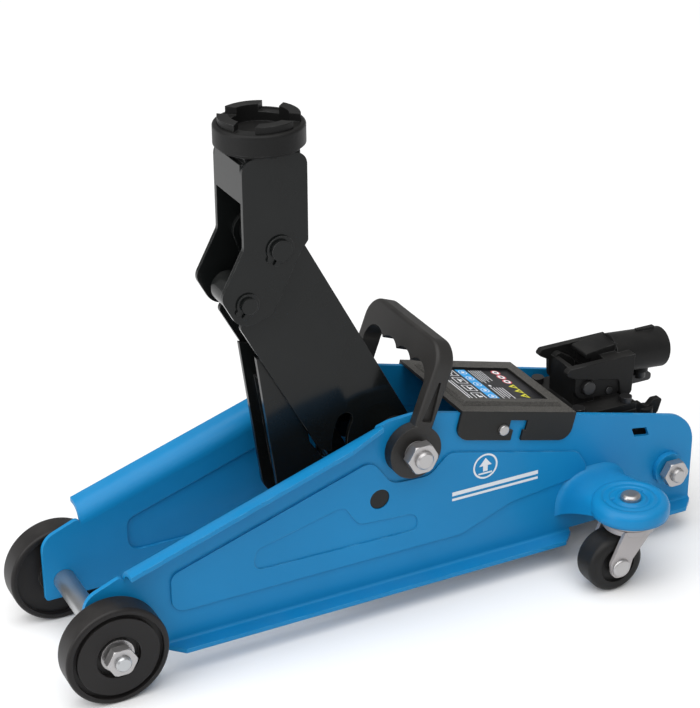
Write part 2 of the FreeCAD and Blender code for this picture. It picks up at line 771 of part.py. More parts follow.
def saddle_crown():
    """Toothed ring pressed into the cup."""
    z0 = bracket_top + saddle_gap + 6
    z1 = bracket_top + saddle_gap + saddle_h
    ring = upright(crown_out, saddle_x, 0, z0, z1 + tooth_h)
    floor = upright(crown_out, saddle_x, 0, z0, z0 + 2.5)
    ring = ring.cut(upright(crown_in, saddle_x, 0, z0 - 1, z1 + tooth_h + 1))
    notch_w = 13.0
    for a in (0, 90):
        notch = box(saddle_x - 40, saddle_x + 40, -notch_w / 2, notch_w / 2, z1 - 0.6, z1 + tooth_h + 1)
        notch.rotate(V(saddle_x, 0, 0), V(0, 0, 1), a + 45)
        ring = ring.cut(notch)
    return joined([ring, floor])


def saddle_clip():
    """Retaining ring under the bracket's top."""
    z1 = bracket_top - 6.6
    return upright(stem_r + 3, saddle_x, 0, z1 - 1.5, z1).cut(upright(stem_r - 1 + run_fit, saddle_x, 0, 0, 400))


# ---- casters
def caster_race_left():
    top = dish_top - sheet
    ring = upright(race_r, caster_x, caster_y, race_low, top)
    ring = ring.makeFillet(2.0, [e for e in ring.Edges if abs(e.BoundBox.ZMax - race_low) < 0.01])
    return ring.cut(upright(caster_pin_r + run_fit, caster_x, caster_y, 0, 200))


def caster_fork_left():
    top = race_low - side_gap
    plate = upright(race_r - 1.5, caster_x, caster_y, top - fork_top_t, top)
    axle_x = caster_x + caster_trail
    pieces = [plate]
    for side in (1, -1):
        y0 = side * fork_in if side > 0 else -fork_in - fork_t
        cheek = side_shape([(caster_x - 12, top, 0), (caster_x + 12, top, 0),
                            (axle_x + 7.5, caster_r + 4, 4.0), (axle_x + 6, caster_r - 7.5, 6.0),
                            (axle_x - 6, caster_r - 7.5, 6.0), (axle_x - 9, caster_r + 4, 4.0)],
                           caster_y + y0, caster_y + y0 + fork_t)
        pieces.append(cheek)
    fork = joined(pieces)
    fork = fork.cut(across(rivet_r + run_fit, axle_x, caster_r, 0, 200))
    return fork.cut(upright(caster_pin_r + run_fit, caster_x, caster_y, 0, 200))


def caster_bolts():
    z0 = dish_top - 1.2
    low = race_low - side_gap - fork_top_t - side_gap
    shank = upright(caster_pin_r, caster_x, caster_y, low - 0.9, z0 + 1)
    head = upright(6.6, caster_x, caster_y, z0, z0 + 3.8)
    head = head.makeFillet(2.6, [e for e in head.Edges if abs(e.BoundBox.ZMin - z0 - 3.8) < 0.01])
    foot = upright(5.5, caster_x, caster_y, low - 0.9, low)
    return both(joined([shank, head, foot]))


def caster_wheel_left():
    axle_x = caster_x + caster_trail
    half = caster_w / 2
    wheel = across(caster_r, axle_x, caster_r, caster_y - half, caster_y + half)
    wheel = wheel.makeFillet(4.5, [e for e in wheel.Edges if e.Curve.TypeId == "Part::GeomCircle"])
    for side in (1, -1):
        y0 = caster_y + side * half
        lo = min(y0, y0 - side * 1.6)
        wheel = wheel.cut(washer(12.5, 6.5, axle_x, caster_r, lo - 0.8, lo + 2.4))
    return wheel.cut(across(rivet_r + run_fit, axle_x, caster_r, 0, 200))


def caster_axle_left():
    axle_x = caster_x + caster_trail
    out = fork_in + fork_t
    pin = across(rivet_r, axle_x, caster_r, caster_y - out, caster_y + out)
    heads = []
    for side in (1, -1):
        y0 = caster_y + side * out
        head = Part.makeCylinder(6.4, 2.2, V(axle_x, y0, caster_r), V(0, side, 0))
        head = head.makeFillet(1.6, [e for e in head.Edges if abs(e.CenterOfMass.y - y0 - side * 2.2) < 0.01])
        heads.append(head)
    return joined([pin] + heads)


# ---- hydraulic unit
def pump_block():
    rear = side_shape([(block_front, block_bottom, 0), (block_front, block_top, 0), (block_slope_x, block_top, 2.0),
                       (block_rear, block_slope_z, 4.0), (block_rear, block_bottom, 4.0)],
                      -block_half_y, block_half_y)
    pad = box(top_pad_rear, top_pad_front, -pad_half_y, pad_half_y, pad_top - top_pad_t, pad_top)
    riser = box(top_pad_rear, block_front, -pad_half_y, pad_half_y, block_top - 6, pad_top - top_pad_t + 1)
    body = joined([rear, riser, pad])
    body = body.cut(across(stud_r + run_fit, tie_x, tie_z, -50, 50))
    body = body.cut(along(cyl_r + run_fit, bore_end - 4, block_front + 1, 0, ram_z))
    body = body.cut(upright(spring_seat_r, pump_x, 0, seat_z, pad_top + 1))
    body = body.cut(upright(piston_stem_r + run_fit, pump_x, 0, block_top - 6.5, pad_top + 1))
    body = body.cut(upright(3.2 + run_fit, release_x, release_y, block_top - 12, pad_top + 1))
    body = body.cut(upright(3.0 + run_fit, filler_x, filler_y, block_top - 9, pad_top + 1))
    for x, y in yoke_bolt_places():
        body = body.cut(upright(2.5 + run_fit, x, y, pad_top - top_pad_t - 0.5, pad_top + 1))
    return body


def reservoir():
    x1 = gland_front - gland_len
    tube = along(res_r, block_front, x1, 0, ram_z)
    tube = tube.cut(along(res_r - res_t, block_front - 1, x1 - 5, 0, ram_z))
    return tube.cut(along(cyl_r + run_fit, block_front - 1, x1 + 1, 0, ram_z))


def ram_cylinder():
    x1 = gland_front - 4
    tube = along(cyl_r, bore_end - 4, x1, 0, ram_z)
    return tube.cut(along(piston_r + run_fit, bore_end, x1 + 1, 0, ram_z))


def gland_nut():
    base = V(gland_front - gland_len, 0, ram_z)
    nut = hexagon(gland_af, gland_len, base, V(1, 0, 0), 0)
    nut = nut.cut(along(cyl_r + run_fit, gland_front - gland_len - 1, gland_front - 4, 0, ram_z))
    return nut.cut(along(rod_r + run_fit, gland_front - 10, gland_front + 5, 0, ram_z))


def ram_rod():
    x1 = face_x - head_t
    shank = along(rod_r, x1 - rod_len, x1, 0, ram_z)
    piston = along(piston_r, x1 - rod_len - 10, x1 - rod_len, 0, ram_z)
    spigot = along(rod_r - 3, x1 - 1, x1 + 6, 0, ram_z)
    return joined([shank, piston, spigot])


def ram_head():
    """Hardened pusher that bears on the arm's roller."""
    x1 = face_x
    head = box(x1 - head_t, x1, -head_half_y, head_half_y, ram_z - head_half_z, ram_z + head_half_z)
    head = head.makeFillet(2.0, [e for e in head.Edges if abs(e.Length - head_t) < 0.01])
    return head.cut(along(rod_r - 3 + run_fit, x1 - head_t - 1, x1 - head_t + 6 + run_fit, 0, ram_z))


def coil(r, wire, length, turns):
    """Closely wound spring along +Z from the origin, drawn as a corrugated sleeve."""
    pitch = length / turns
    inner = r - wire
    edges = []
    for i in range(turns):
        a = V(r, 0, i * pitch)
        m = V(r + wire, 0, (i + 0.5) * pitch)
        b = V(r, 0, (i + 1) * pitch)
        edges.append(Part.Arc(a, m, b).toShape())
    edges.append(Part.makeLine(V(r, 0, length), V(inner, 0, length)))
    edges.append(Part.makeLine(V(inner, 0, length), V(inner, 0, 0)))
    edges.append(Part.makeLine(V(inner, 0, 0), V(r, 0, 0)))
    face = Part.Face(Part.Wire(edges))
    return face.revolve(V(0, 0, 0), V(0, 0, 1), 360)


# ---- pump and handle socket
def yoke_bolt_places():
    return [(x, y) for x in (top_pad_front - 8, top_pad_rear + 6) for y in (-25.5, 25.5)]


def socket_yoke():
    """Flange bolted to the pump, with two ears for the socket's pin and a wall across their front."""
    half = ear_in + ear_t
    front = socket_x + 8.5
    base = box(top_pad_rear, top_pad_front + 2, -pad_half_y + 0.5, pad_half_y - 0.5, pad_top, pad_top + 5)
    ear = side_shape([(front, pad_top, 0),
                      (front, socket_z + 14, 4.0),
                      (front - 5, socket_z + 14, 3.0),
                      (socket_x - 8, socket_z + 7, 6.0),
                      (socket_x - 8, pad_top, 0)], ear_in, half)
    wall = box(front - 3.4, front, -half, half, pad_top, socket_z + 12)
    body = joined([base, ear, mirror(ear), wall])
    body = body.cut(across(socket_pin_r + run_fit, socket_x, socket_z, -50, 50))
    body = body.cut(upright(spring_seat_r, pump_x, 0, pad_top - 1, pad_top + 6))
    for x, y in yoke_bolt_places():
        body = body.cut(upright(2.5 + run_fit, x, y, pad_top - 1, pad_top + 40))
    return body


def yoke_bolts():
    bolts = []
    for x, y in yoke_bolt_places():
        shank = upright(2.5, x, y, pad_top - top_pad_t + 0.5, pad_top + 6)
        head = upright(4.2, x, y, pad_top + 5, pad_top + 9)
        bolts.append(joined([shank, head]))
    return bolts


def tube_axis():
    drop = math.radians(tube_drop)
    return V(-math.cos(drop), 0, -math.sin(drop))


def socket_cheek():
    """Left side wall of the handle socket: a proud upper band over a lobe for the pins and a rear leg."""
    y0 = ear_in + ear_t + side_gap
    band = side_shape([(socket_x + 15, socket_z + 16.8, 2.0),
                       (socket_x + 18.5, socket_z + 13.3, 2.0),
                       (socket_x + 11, socket_z + 9, 4.0),
                       (socket_x - 24, socket_z + 1, 3.0),
                       (socket_x - 26, socket_z - 12, 2.0),
                       (socket_x - 34.5, socket_z - 12, 3.0),
                       (socket_x - 36, socket_z + 17, 0)], y0, y0 + cheek_t)
    lobe = side_shape([(socket_x + 10, socket_z + 12, 3.0),
                       (socket_x + 9, socket_z - 7.5, 8.0),
                       (socket_x - 26, socket_z - 10, 3.0),
                       (socket_x - 26, socket_z + 8, 0)], y0, y0 + cheek_t - 1.6)
    return joined([band, lobe])


def handle_socket():
    """Socket for the pump handle: tube, neck between the ears and cheeks outside them."""
    axis = tube_axis()
    end = V(tube_end, 0, tube_z)
    start = end - axis * tube_len
    tube = Part.makeCylinder(tube_r, tube_len, start, axis)
    tube = tube.makeFillet(1.2, [e for e in tube.Edges if e.CenterOfMass.distanceToPoint(end) < 0.01])
    out = ear_in + ear_t + side_gap
    neck = side_shape([(socket_x - 4, socket_z + 19.5, 1.2), (socket_x - 4, socket_z + 16, 1.2),
                       (socket_x - 8, socket_z + 15.5, 0), (socket_x - 8, socket_z + 6.5, 2.0),
                       (start.x - 4, socket_z + 6.5, 0), (start.x - 4, start.z + 11.4, 3.0)], -9, 9)
    slab = box(socket_x - 36, socket_x - 14, -out - 0.5, out + 0.5, socket_z + 8, socket_z + 17)
    rib = box(screw_x - 9, screw_x + 5, -1.4, 1.4, tube_z + 10, tube_z + 17)
    boss = upright(6.0, screw_x, 0, tube_z - 14.4, tube_z - 5)
    cheek = socket_cheek()
    body = joined([tube, neck, slab, rib, boss, cheek, mirror(cheek)])
    body = body.cut(Part.makeCylinder(tube_bore, tube_len, start + axis * 4, axis))
    body = body.cut(across(socket_pin_r + run_fit, socket_x, socket_z, -50, 50))
    body = body.cut(upright(3.0 + run_fit, screw_x, 0, tube_z - 30, tube_z))
    return body.cut(across(2.5 + run_fit, pump_x, socket_z + cam_dz, -50, 50))


def socket_pin():
    out = ear_in + ear_t + side_gap + cheek_t
    pin = across(socket_pin_r, socket_x, socket_z, -out - 1.5, out + 1.5)
    return pin.makeFillet(1.0, [e for e in pin.Edges if e.Curve.TypeId == "Part::GeomCircle"])


def cam_roller():
    half = piston_head_r + 0.4
    return washer(cam_r, 2.5 + run_fit, pump_x, socket_z + cam_dz, -half, half)


def cam_pin():
    half = ear_in + ear_t + side_gap + cheek_t - 0.5
    return across(2.5, pump_x, socket_z + cam_dz, -half, half)


def clamp_screw():
    """Thumb screw that grips the handle bar."""
    z = tube_z - 14.4
    shank = upright(3.0, screw_x, 0, z - 2, z + 4)
    head = upright(4.5, screw_x, 0, z - 5, z - side_gap)
    wings = box(screw_x - 9, screw_x + 9, -1.6, 1.6, z - 9, z - 3)
    wings = wings.makeFillet(2.4, [e for e in wings.Edges if abs(e.Length - 3.2) < 0.01])
    return joined([shank, head, wings])


def pump_cylinder():
    top = socket_z + cam_dz - cam_r - side_gap - piston_head_t - side_gap
    sleeve = upright(sleeve_r, pump_x, 0, seat_z, top)
    return sleeve.cut(upright(piston_stem_r + run_fit, pump_x, 0, seat_z - 1, top + 1))


def pump_piston():
    top = socket_z + cam_dz - cam_r - side_gap
    stem = upright(piston_stem_r, pump_x, 0, block_top - 5, top - 1)
    head = upright(piston_head_r, pump_x, 0, top - piston_head_t, top)
    head = head.makeFillet(0.8, [e for e in head.Edges if e.Curve.TypeId == "Part::GeomCircle"])
    return joined([stem, head])


def pump_spring():
    low = seat_z + side_gap / 2
    top = socket_z + cam_dz - cam_r - side_gap - piston_head_t - side_gap / 2
    spring = coil(piston_head_r - 1.0, spring_wire, top - low, 4)
    spring.translate(V(pump_x, 0, low))
    return spring


def release_valve():
    """Stem of the lowering valve with its winged knob."""
    z0 = block_top + side_gap
    stem = upright(3.2, release_x, release_y, block_top - 11, z0 + 2)
    hub = upright(5.5, release_x, release_y, z0, z0 + 7)
    wings = side_shape([(release_x - 12.5, z0 + 12, 2.0), (release_x - 9, z0 + 1, 2.0), (release_x + 9, z0 + 1, 2.0),
                        (release_x + 12.5, z0 + 12, 2.0), (release_x + 5, z0 + 12, 2.0), (release_x, z0 + 7, 3.0),
                        (release_x - 5, z0 + 12, 2.0)], release_y - 2.2, release_y + 2.2)
    return joined([stem, hub, wings])


def filler_plug():
    stem = upright(3.0, filler_x, filler_y, block_top - 8, block_top + 1)
    head = upright(5.2, filler_x, filler_y, block_top, block_top + 4)
    slot = box(filler_x - 6, filler_x + 6, filler_y - 0.7, filler_y + 0.7, block_top + 2.6, block_top + 5)
    return joined([stem, head]).cut(slot)


# ---- carrying handle
def carry_handle():
    """Moulded bail: two legs with round bosses and a bar with finger notches, leaning back."""
    top = pivot_z + bail_reach
    half_x = bail_w / 2
    outer = handle_out
    frame = Part.Face(outline_yz([(outer, pivot_z, 0), (outer, top, 16.0),
                                  (-outer, top, 16.0), (-outer, pivot_z, 0)]))
    window = Part.Face(outline_yz([(handle_in, pivot_z - 1, 0), (handle_in, top - bar_h, 9.0),
                                   (-handle_in, top - bar_h, 9.0), (-handle_in, pivot_z - 1, 0)]))
    bail = frame.extrude(V(bail_w, 0, 0)).cut(window.extrude(V(bail_w + 2, 0, 0)))
    bail.translate(V(pivot_x - half_x, 0, 0))
    corner = [e for e in bail.Edges if e.BoundBox.ZMin > pivot_z + 6
              and (abs(e.BoundBox.XMax - pivot_x - half_x) < 0.01 and e.BoundBox.XLength < 0.01
                   or abs(e.BoundBox.XMin - pivot_x + half_x) < 0.01 and e.BoundBox.XLength < 0.01)]
    bail = bail.makeFillet(2.5, [e for e in corner if e.BoundBox.ZMax > pivot_z + bail_reach - 0.5])
    for i in range(notch_count):
        y = (i - (notch_count - 1) / 2) * notch_pitch
        notch = rod(notch_r, pivot_x - half_x - 1, y, top - bar_h - notch_r + notch_deep, bail_w + 2, V(1, 0, 0))
        bail = bail.cut(notch)
    boss = across(boss_out_r, pivot_x, pivot_z, handle_in, handle_out)
    bail = joined([bail, boss, mirror(boss)])
    pocket = side_shape([(pivot_x - 3.6, pivot_z + boss_out_r + 3, 0.8), (pivot_x + 3.6, pivot_z + boss_out_r + 3, 0.8),
                         (pivot_x + 0.9, top - bar_h - 2, 0.6), (pivot_x - 0.9, top - bar_h - 2, 0.6)],
                        handle_out - 2.6, handle_out + 1)
    bail = bail.cut(pocket).cut(mirror(pocket))
    bail = bail.cut(across(shaft_r + run_fit, pivot_x, pivot_z, -60, 60))
    bail.rotate(V(pivot_x, 0, pivot_z), V(0, 1, 0), -bail_lean)
    return bail


def outline_yz(corners):
    """The outline() wire turned to lie in the YZ plane at X = 0, from (y, z, radius) corners."""
    wire = outline(corners)
    wire.rotate(V(0, 0, 0), V(0, 0, 1), 90)
    return wire


# ---- all pieces
def write(name, shapes):
    group = shapes if isinstance(shapes, list) else [shapes]
    solids = []
    for shape in group:
        moved = shape.copy()
        moved.translate(V(origin_x, 0, 0))
        solids.extend(moved.Solids)
    result = solids[0] if len(solids) == 1 else Part.makeCompound(solids)
    result.exportStep(os.path.join("parts", name + ".step"))


def write_pair(name, left):
    write(name + "_left", left)
    write(name + "_right", mirror(left))


os.makedirs("parts", exist_ok=True)

for piece in (side_plate_left, caster_bracket_left, roller_left, caster_race_left, caster_fork_left,
              caster_wheel_left, caster_axle_left):
    write_pair(piece.__name__[:-5], piece())

for piece in (front_axle, roller_spacers, roller_washers, axle_nuts, rear_tie_bolt, tie_bolt_washers,
              tie_bolt_nuts, cover_plate, cover_screws, label_plate, lift_pivot_shaft, pivot_spacers,
              pivot_nuts, link_pin, lift_arm, rocker, ram_pin, ram_roller, tie_link, saddle_bracket,
              head_pin, link_head_pin, circlips, saddle_cup, saddle_crown, saddle_clip, caster_bolts,
              pump_block, reservoir, ram_cylinder, gland_nut, ram_rod, ram_head, socket_yoke, yoke_bolts, handle_socket, socket_pin, cam_roller, cam_pin,
              clamp_screw, pump_cylinder, pump_piston, pump_spring, release_valve, filler_plug,
              carry_handle):
    write(piece.__name__, piece())
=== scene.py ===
import math

import bpy
from mathutils import Matrix, Vector


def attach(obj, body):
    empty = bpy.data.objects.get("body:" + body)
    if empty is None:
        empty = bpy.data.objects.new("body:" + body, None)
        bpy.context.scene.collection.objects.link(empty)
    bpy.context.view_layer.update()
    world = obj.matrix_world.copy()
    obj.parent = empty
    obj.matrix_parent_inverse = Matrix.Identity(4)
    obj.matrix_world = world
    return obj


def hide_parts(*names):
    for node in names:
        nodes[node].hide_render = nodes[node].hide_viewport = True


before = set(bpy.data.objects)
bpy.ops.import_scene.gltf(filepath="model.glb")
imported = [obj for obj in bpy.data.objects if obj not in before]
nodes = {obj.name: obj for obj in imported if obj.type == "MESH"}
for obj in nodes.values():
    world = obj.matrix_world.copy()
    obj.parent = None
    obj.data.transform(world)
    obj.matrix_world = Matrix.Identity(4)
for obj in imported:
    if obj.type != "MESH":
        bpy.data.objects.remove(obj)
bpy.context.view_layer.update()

# ---- Camera -------------------------------------------------------------------------------
# A longish lens on the jack's left side, ahead of it and above the raised saddle. The view is
# slightly taller than wide, so the film's long side stands upright.
scene = bpy.context.scene
collection = scene.collection
camera_place = Vector((0.5059, 0.9756, 0.6996))
camera_back = Vector((0.40561, 0.80135, 0.43968))
camera_up = Vector((-0.20275, -0.39017, 0.89815))
film = 36.0                     # long side, mm
film_lengths = 2.7661017        # focal length over the film's long side
camera_data = bpy.data.cameras.new("camera")
camera_data.sensor_width = film
camera_data.lens = film * film_lengths
camera = bpy.data.objects.new("camera", camera_data)
stand = Matrix((camera_up.cross(camera_back), camera_up, camera_back)).transposed().to_4x4()
stand.translation = camera_place
camera.matrix_world = stand
collection.objects.link(camera)
scene.camera = camera

# ---- Studio -------------------------------------------------------------------------------
# A pale seamless paper floor under a very broad overhead light. A tall strip light stands ahead
# of the jack and a long, narrow one hangs beside it, in a dim white room.
floor_half = 30.0
floor_mesh = bpy.data.meshes.new("studio_floor")
floor_mesh.from_pydata([(-floor_half, -floor_half, 0), (floor_half, -floor_half, 0),
                        (floor_half, floor_half, 0), (-floor_half, floor_half, 0)], [], [(0, 1, 2, 3)])
floor = bpy.data.objects.new("studio_floor", floor_mesh)
collection.objects.link(floor)


def blend_colour(tree, factor, first, second):
    """A colour Mix node whose two colours are sockets or plain colours."""
    node = tree.nodes.new("ShaderNodeMix")
    node.data_type = "RGBA"
    factor_in, first_in, second_in, colour_out = 0, 6, 7, 2     # the RGBA sockets of a Mix node
    tree.links.new(factor, node.inputs[factor_in])
    for index, value in ((first_in, first), (second_in, second)):
        if isinstance(value, tuple):
            node.inputs[index].default_value = (*value, 1)
        else:
            tree.links.new(value, node.inputs[index])
    return node.outputs[colour_out]


paper = bpy.data.materials.new("studio_paper")
paper.use_nodes = True
tree = paper.node_tree
shader = tree.nodes["Principled BSDF"]
shader.inputs["Roughness"].default_value = 0.9
fibres = tree.nodes.new("ShaderNodeTexNoise")
fibres.inputs["Scale"].default_value = 300.0
paper_tone = blend_colour(tree, fibres.outputs["Fac"], (0.86, 0.86, 0.86), (0.89, 0.89, 0.89))
tree.links.new(paper_tone, shader.inputs["Base Color"])
floor_mesh.materials.append(paper)

room_light = 0.34
world = bpy.data.worlds.new("studio_room")
world.use_nodes = True
room = world.node_tree.nodes["Background"]
room.inputs["Color"].default_value = (1.0, 1.0, 1.0, 1)
room.inputs["Strength"].default_value = room_light
scene.world = world


def softbox(name, place, aim, width, height, watts):
    """A rectangular area light at one point, turned to face another."""
    data = bpy.data.lights.new(name, "AREA")
    data.shape = "RECTANGLE"
    data.size = width
    data.size_y = height
    data.energy = watts
    lamp = bpy.data.objects.new(name, data)
    lamp.location = place
    lamp.rotation_mode = "QUATERNION"
    lamp.rotation_quaternion = (Vector(aim) - Vector(place)).to_track_quat("-Z", "Y")
    collection.objects.link(lamp)


softbox("front_strip", place=(1.5, 0.1, 0.7), aim=(0.0, 0.0, 0.15), width=0.6, height=1.2, watts=9.0)
softbox("side_strip", place=(-0.2, 1.7, 1.1), aim=(0.0, 0.0, 0.1), width=1.4, height=0.3, watts=3.0)

overhead_light = 2.75
overhead_spread = math.radians(75)
overhead_tilt = (math.radians(-12), math.radians(16), 0)
sky_data = bpy.data.lights.new("overhead", "SUN")
sky_data.energy = overhead_light
sky_data.angle = overhead_spread
sky = bpy.data.objects.new("overhead", sky_data)
sky.rotation_euler = overhead_tilt
collection.objects.link(sky)

scene.view_settings.view_transform = "Standard"


def shader_group(name, takes, gives):
    """An empty node group with number inputs and named outputs, and its two end nodes."""
    group = bpy.data.node_groups.new(name, "ShaderNodeTree")
    for socket, value in takes.items():
        made = group.interface.new_socket(name=socket, in_out="INPUT", socket_type="NodeSocketFloat")
        made.default_value = value
    for socket, kind in gives.items():
        group.interface.new_socket(name=socket, in_out="OUTPUT", socket_type=kind)
    return group, group.nodes.new("NodeGroupInput"), group.nodes.new("NodeGroupOutput")


def combined(tree, operation, first, second, clamp=False):
    """Two sockets put together by a Math node."""
    node = tree.nodes.new("ShaderNodeMath")
    node.operation = operation
    node.use_clamp = clamp
    tree.links.new(first, node.inputs[0])
    tree.links.new(second, node.inputs[1])
    return node.outputs[0]


def cloud_field(tree, scale, detail):
    """Solid noise in the jack's own coordinates, its scale taken from a socket."""
    place = tree.nodes.new("ShaderNodeTexCoord")
    node = tree.nodes.new("ShaderNodeTexNoise")
    node.inputs["Detail"].default_value = detail
    node.inputs["Roughness"].default_value = 0.55
    tree.links.new(place.outputs["Object"], node.inputs["Vector"])
    tree.links.new(scale, node.inputs["Scale"])
    return node.outputs["Fac"]


def spread(tree, value, low, high, to_low=0.0, to_high=1.0):
    """Map Range from low..high to to_low..to_high, clamped."""
    node = tree.nodes.new("ShaderNodeMapRange")
    tree.links.new(value, node.inputs["Value"])
    node.inputs["From Min"].default_value = low
    node.inputs["From Max"].default_value = high
    node.inputs["To Min"].default_value = to_low
    node.inputs["To Max"].default_value = to_high
    return node.outputs["Result"]


# Scuffed edges: the rounded normal leaves the flat one wherever an edge is near, and noise breaks
# the band into patches.
worn_edges, enter, leave = shader_group(
    "worn_edges", {"Radius": 0.0006, "Patchiness": 90.0},
    {"Mask": "NodeSocketFloat", "Normal": "NodeSocketVector"})
rounded = worn_edges.nodes.new("ShaderNodeBevel")
rounded.samples = 6
worn_edges.links.new(enter.outputs["Radius"], rounded.inputs["Radius"])
facing = worn_edges.nodes.new("ShaderNodeNewGeometry")
alike = worn_edges.nodes.new("ShaderNodeVectorMath")
alike.operation = "DOT_PRODUCT"
worn_edges.links.new(rounded.outputs["Normal"], alike.inputs[0])
worn_edges.links.new(facing.outputs["Normal"], alike.inputs[1])
turned = spread(worn_edges, alike.outputs["Value"], low=0.985, high=0.86)
patches = spread(worn_edges, cloud_field(worn_edges, enter.outputs["Patchiness"], detail=6.0),
                 low=0.46, high=0.62)
worn_edges.links.new(combined(worn_edges, "MULTIPLY", turned, patches), leave.inputs["Mask"])
worn_edges.links.new(rounded.outputs["Normal"], leave.inputs["Normal"])

# Dust and painted top sheen: cloudy, and only on what faces up. A little of it is dust. On the cover, a
# large and very fine-grained amount is a painted sheen of the light from above.
dust_and_top_sheen, enter, leave = shader_group(
    "dust_and_top_sheen", {"Amount": 0.3, "Scale": 40.0}, {"Mask": "NodeSocketFloat"})
facing = dust_and_top_sheen.nodes.new("ShaderNodeNewGeometry")
split = dust_and_top_sheen.nodes.new("ShaderNodeSeparateXYZ")
dust_and_top_sheen.links.new(facing.outputs["Normal"], split.inputs[0])
upward = spread(dust_and_top_sheen, split.outputs["Z"], low=0.2, high=1.0)
cloudy = spread(dust_and_top_sheen, cloud_field(dust_and_top_sheen, enter.outputs["Scale"], detail=8.0),
                low=0.35, high=0.75)
facing_up_clouds = combined(dust_and_top_sheen, "MULTIPLY", upward, cloudy)
dust_and_top_sheen.links.new(combined(dust_and_top_sheen, "MULTIPLY", facing_up_clouds, enter.outputs["Amount"]),
                       leave.inputs["Mask"])

# Mottle: a broad drift of shade, and a fine texture for the bump.
mottle, enter, leave = shader_group(
    "mottle", {"Broad": 14.0, "Fine": 700.0},
    {"Shade": "NodeSocketFloat", "Height": "NodeSocketFloat"})
drift = spread(mottle, cloud_field(mottle, enter.outputs["Broad"], detail=5.0), low=0.3, high=0.7)
mottle.links.new(drift, leave.inputs["Shade"])
mottle.links.new(cloud_field(mottle, enter.outputs["Fine"], detail=2.0), leave.inputs["Height"])

# The colour of dust, and of the painted sheen that greys the cover's top.
dust_and_sheen_colour = (0.42, 0.40, 0.37)
smoother, rougher = 0.04, 0.05      # how far roughness drifts to each side of its set value
coat_roughness = 0.12
grain_height = 0.0002


def placed(tree, group, **values):
    """One use of a node group, with its own input values."""
    node = tree.nodes.new("ShaderNodeGroup")
    node.node_tree = group
    for socket, value in values.items():
        node.inputs[socket].default_value = value
    return node


def jack_finish(name, colour, shade, bare, rough, fine, bump, dust_and_sheen, coat=0.0, radius=0.0006,
                metallic=0.0, specular=0.5, dust_and_sheen_scale=40.0):
    """A paint, plating or plastic: cloudy from colour to shade, scuffed to bare along its edges
    (radius wide), with a texture of scale fine and strength bump, and a mask on what faces up with
    its own amount and scale. A little of that mask is dust; a lot, as on the cover, is a painted
    sheen of the light from above."""
    material = bpy.data.materials.new(name)
    material.use_nodes = True
    tree = material.node_tree
    shader = tree.nodes["Principled BSDF"]
    clouds = placed(tree, mottle, Fine=fine)
    edges = placed(tree, worn_edges, Radius=radius)
    dust_and_sheen_node = placed(tree, dust_and_top_sheen, Amount=dust_and_sheen, Scale=dust_and_sheen_scale)
    body = blend_colour(tree, clouds.outputs["Shade"], colour, shade)
    worn = blend_colour(tree, edges.outputs["Mask"], body, bare)
    dusted_and_sheened = blend_colour(tree, dust_and_sheen_node.outputs["Mask"], worn, dust_and_sheen_colour)
    tree.links.new(dusted_and_sheened, shader.inputs["Base Color"])
    gloss = spread(tree, clouds.outputs["Shade"], low=0.0, high=1.0,
                   to_low=rough - smoother, to_high=rough + rougher)
    dulled = combined(tree, "ADD", gloss, dust_and_sheen_node.outputs["Mask"], clamp=True)
    tree.links.new(dulled, shader.inputs["Roughness"])
    shader.inputs["Metallic"].default_value = metallic
    shader.inputs["Specular IOR Level"].default_value = specular
    shader.inputs["Coat Weight"].default_value = coat
    shader.inputs["Coat Roughness"].default_value = coat_roughness
    relief = tree.nodes.new("ShaderNodeBump")
    relief.inputs["Strength"].default_value = bump
    relief.inputs["Distance"].default_value = grain_height
    tree.links.new(clouds.outputs["Height"], relief.inputs["Height"])
    tree.links.new(edges.outputs["Normal"], relief.inputs["Normal"])
    tree.links.new(relief.outputs["Normal"], shader.inputs["Normal"])
    return material


def coat_pieces(material, *names):
    """Gives pieces of the frame their finish."""
    for name in names:
        nodes[name].data.materials.clear()
        nodes[name].data.materials.append(material)


blue_paint = jack_finish(
    "blue_paint", colour=(0.004, 0.190, 0.43), shade=(0.006, 0.21, 0.47), bare=(0.06, 0.32, 0.58),
    rough=0.40, fine=900.0, bump=0.10, dust_and_sheen=0.03, coat=0.05, specular=0.2)
coat_pieces(blue_paint, "side_plate_left", "side_plate_right")

# ---- Caster brackets ----------------------------------------------------------------------
# Pressed sheet arms that swell out of the plates at the rear and end in a round, ringed dish
# over each caster. They are joined to the plates before painting and share their blue coat.
caster_x = -0.148
caster_y = 0.083
sheet = 0.0026
dish_top = 0.062
dish_facets = 72
dish_profile = [                    # radius and height, over the top and back underneath
    (0.0043, 0.0594), (0.0043, 0.0608), (0.0072, 0.0608), (0.0078, 0.0616), (0.0100, 0.0617),
    (0.0106, 0.0604), (0.0126, 0.0603), (0.0134, 0.0614), (0.0142, 0.0617), (0.0160, 0.0616),
    (0.0168, 0.0610), (0.0178, 0.0610), (0.0186, 0.0618), (0.0200, 0.0620), (0.0226, 0.0614),
    (0.0245, 0.0599), (0.0254, 0.0574), (0.02548, 0.0540), (0.02548, 0.0515), (0.0231, 0.0515),
    (0.0230, 0.0560), (0.0210, 0.0588), (0.0190, 0.0594)]
arm_root_y = 0.0389                 # just inside the plate's outer face
arm_end_y = caster_y - 0.004        # under the dish's top
arm_half = 0.0238                   # half the arm's length along the jack, at the dish
arm_swell = 0.0022                  # how much longer each half grows towards the plate
arm_drop = 0.0006                   # the arm's top below the dish's, at the dish
arm_sag = 0.0010                    # how much lower that is at the plate
arm_low = 0.0315                    # lower edge at the plate
arm_lift = 0.0200                   # and how far it rises to the dish
fillet_swell = 0.0030               # the last sweep into the plate, along it
fillet_rise = 0.0035                # and up it
fillet_reach = 14                   # a higher power keeps the sweep closer to the plate
arch_facets = 40
arm_rows = 30


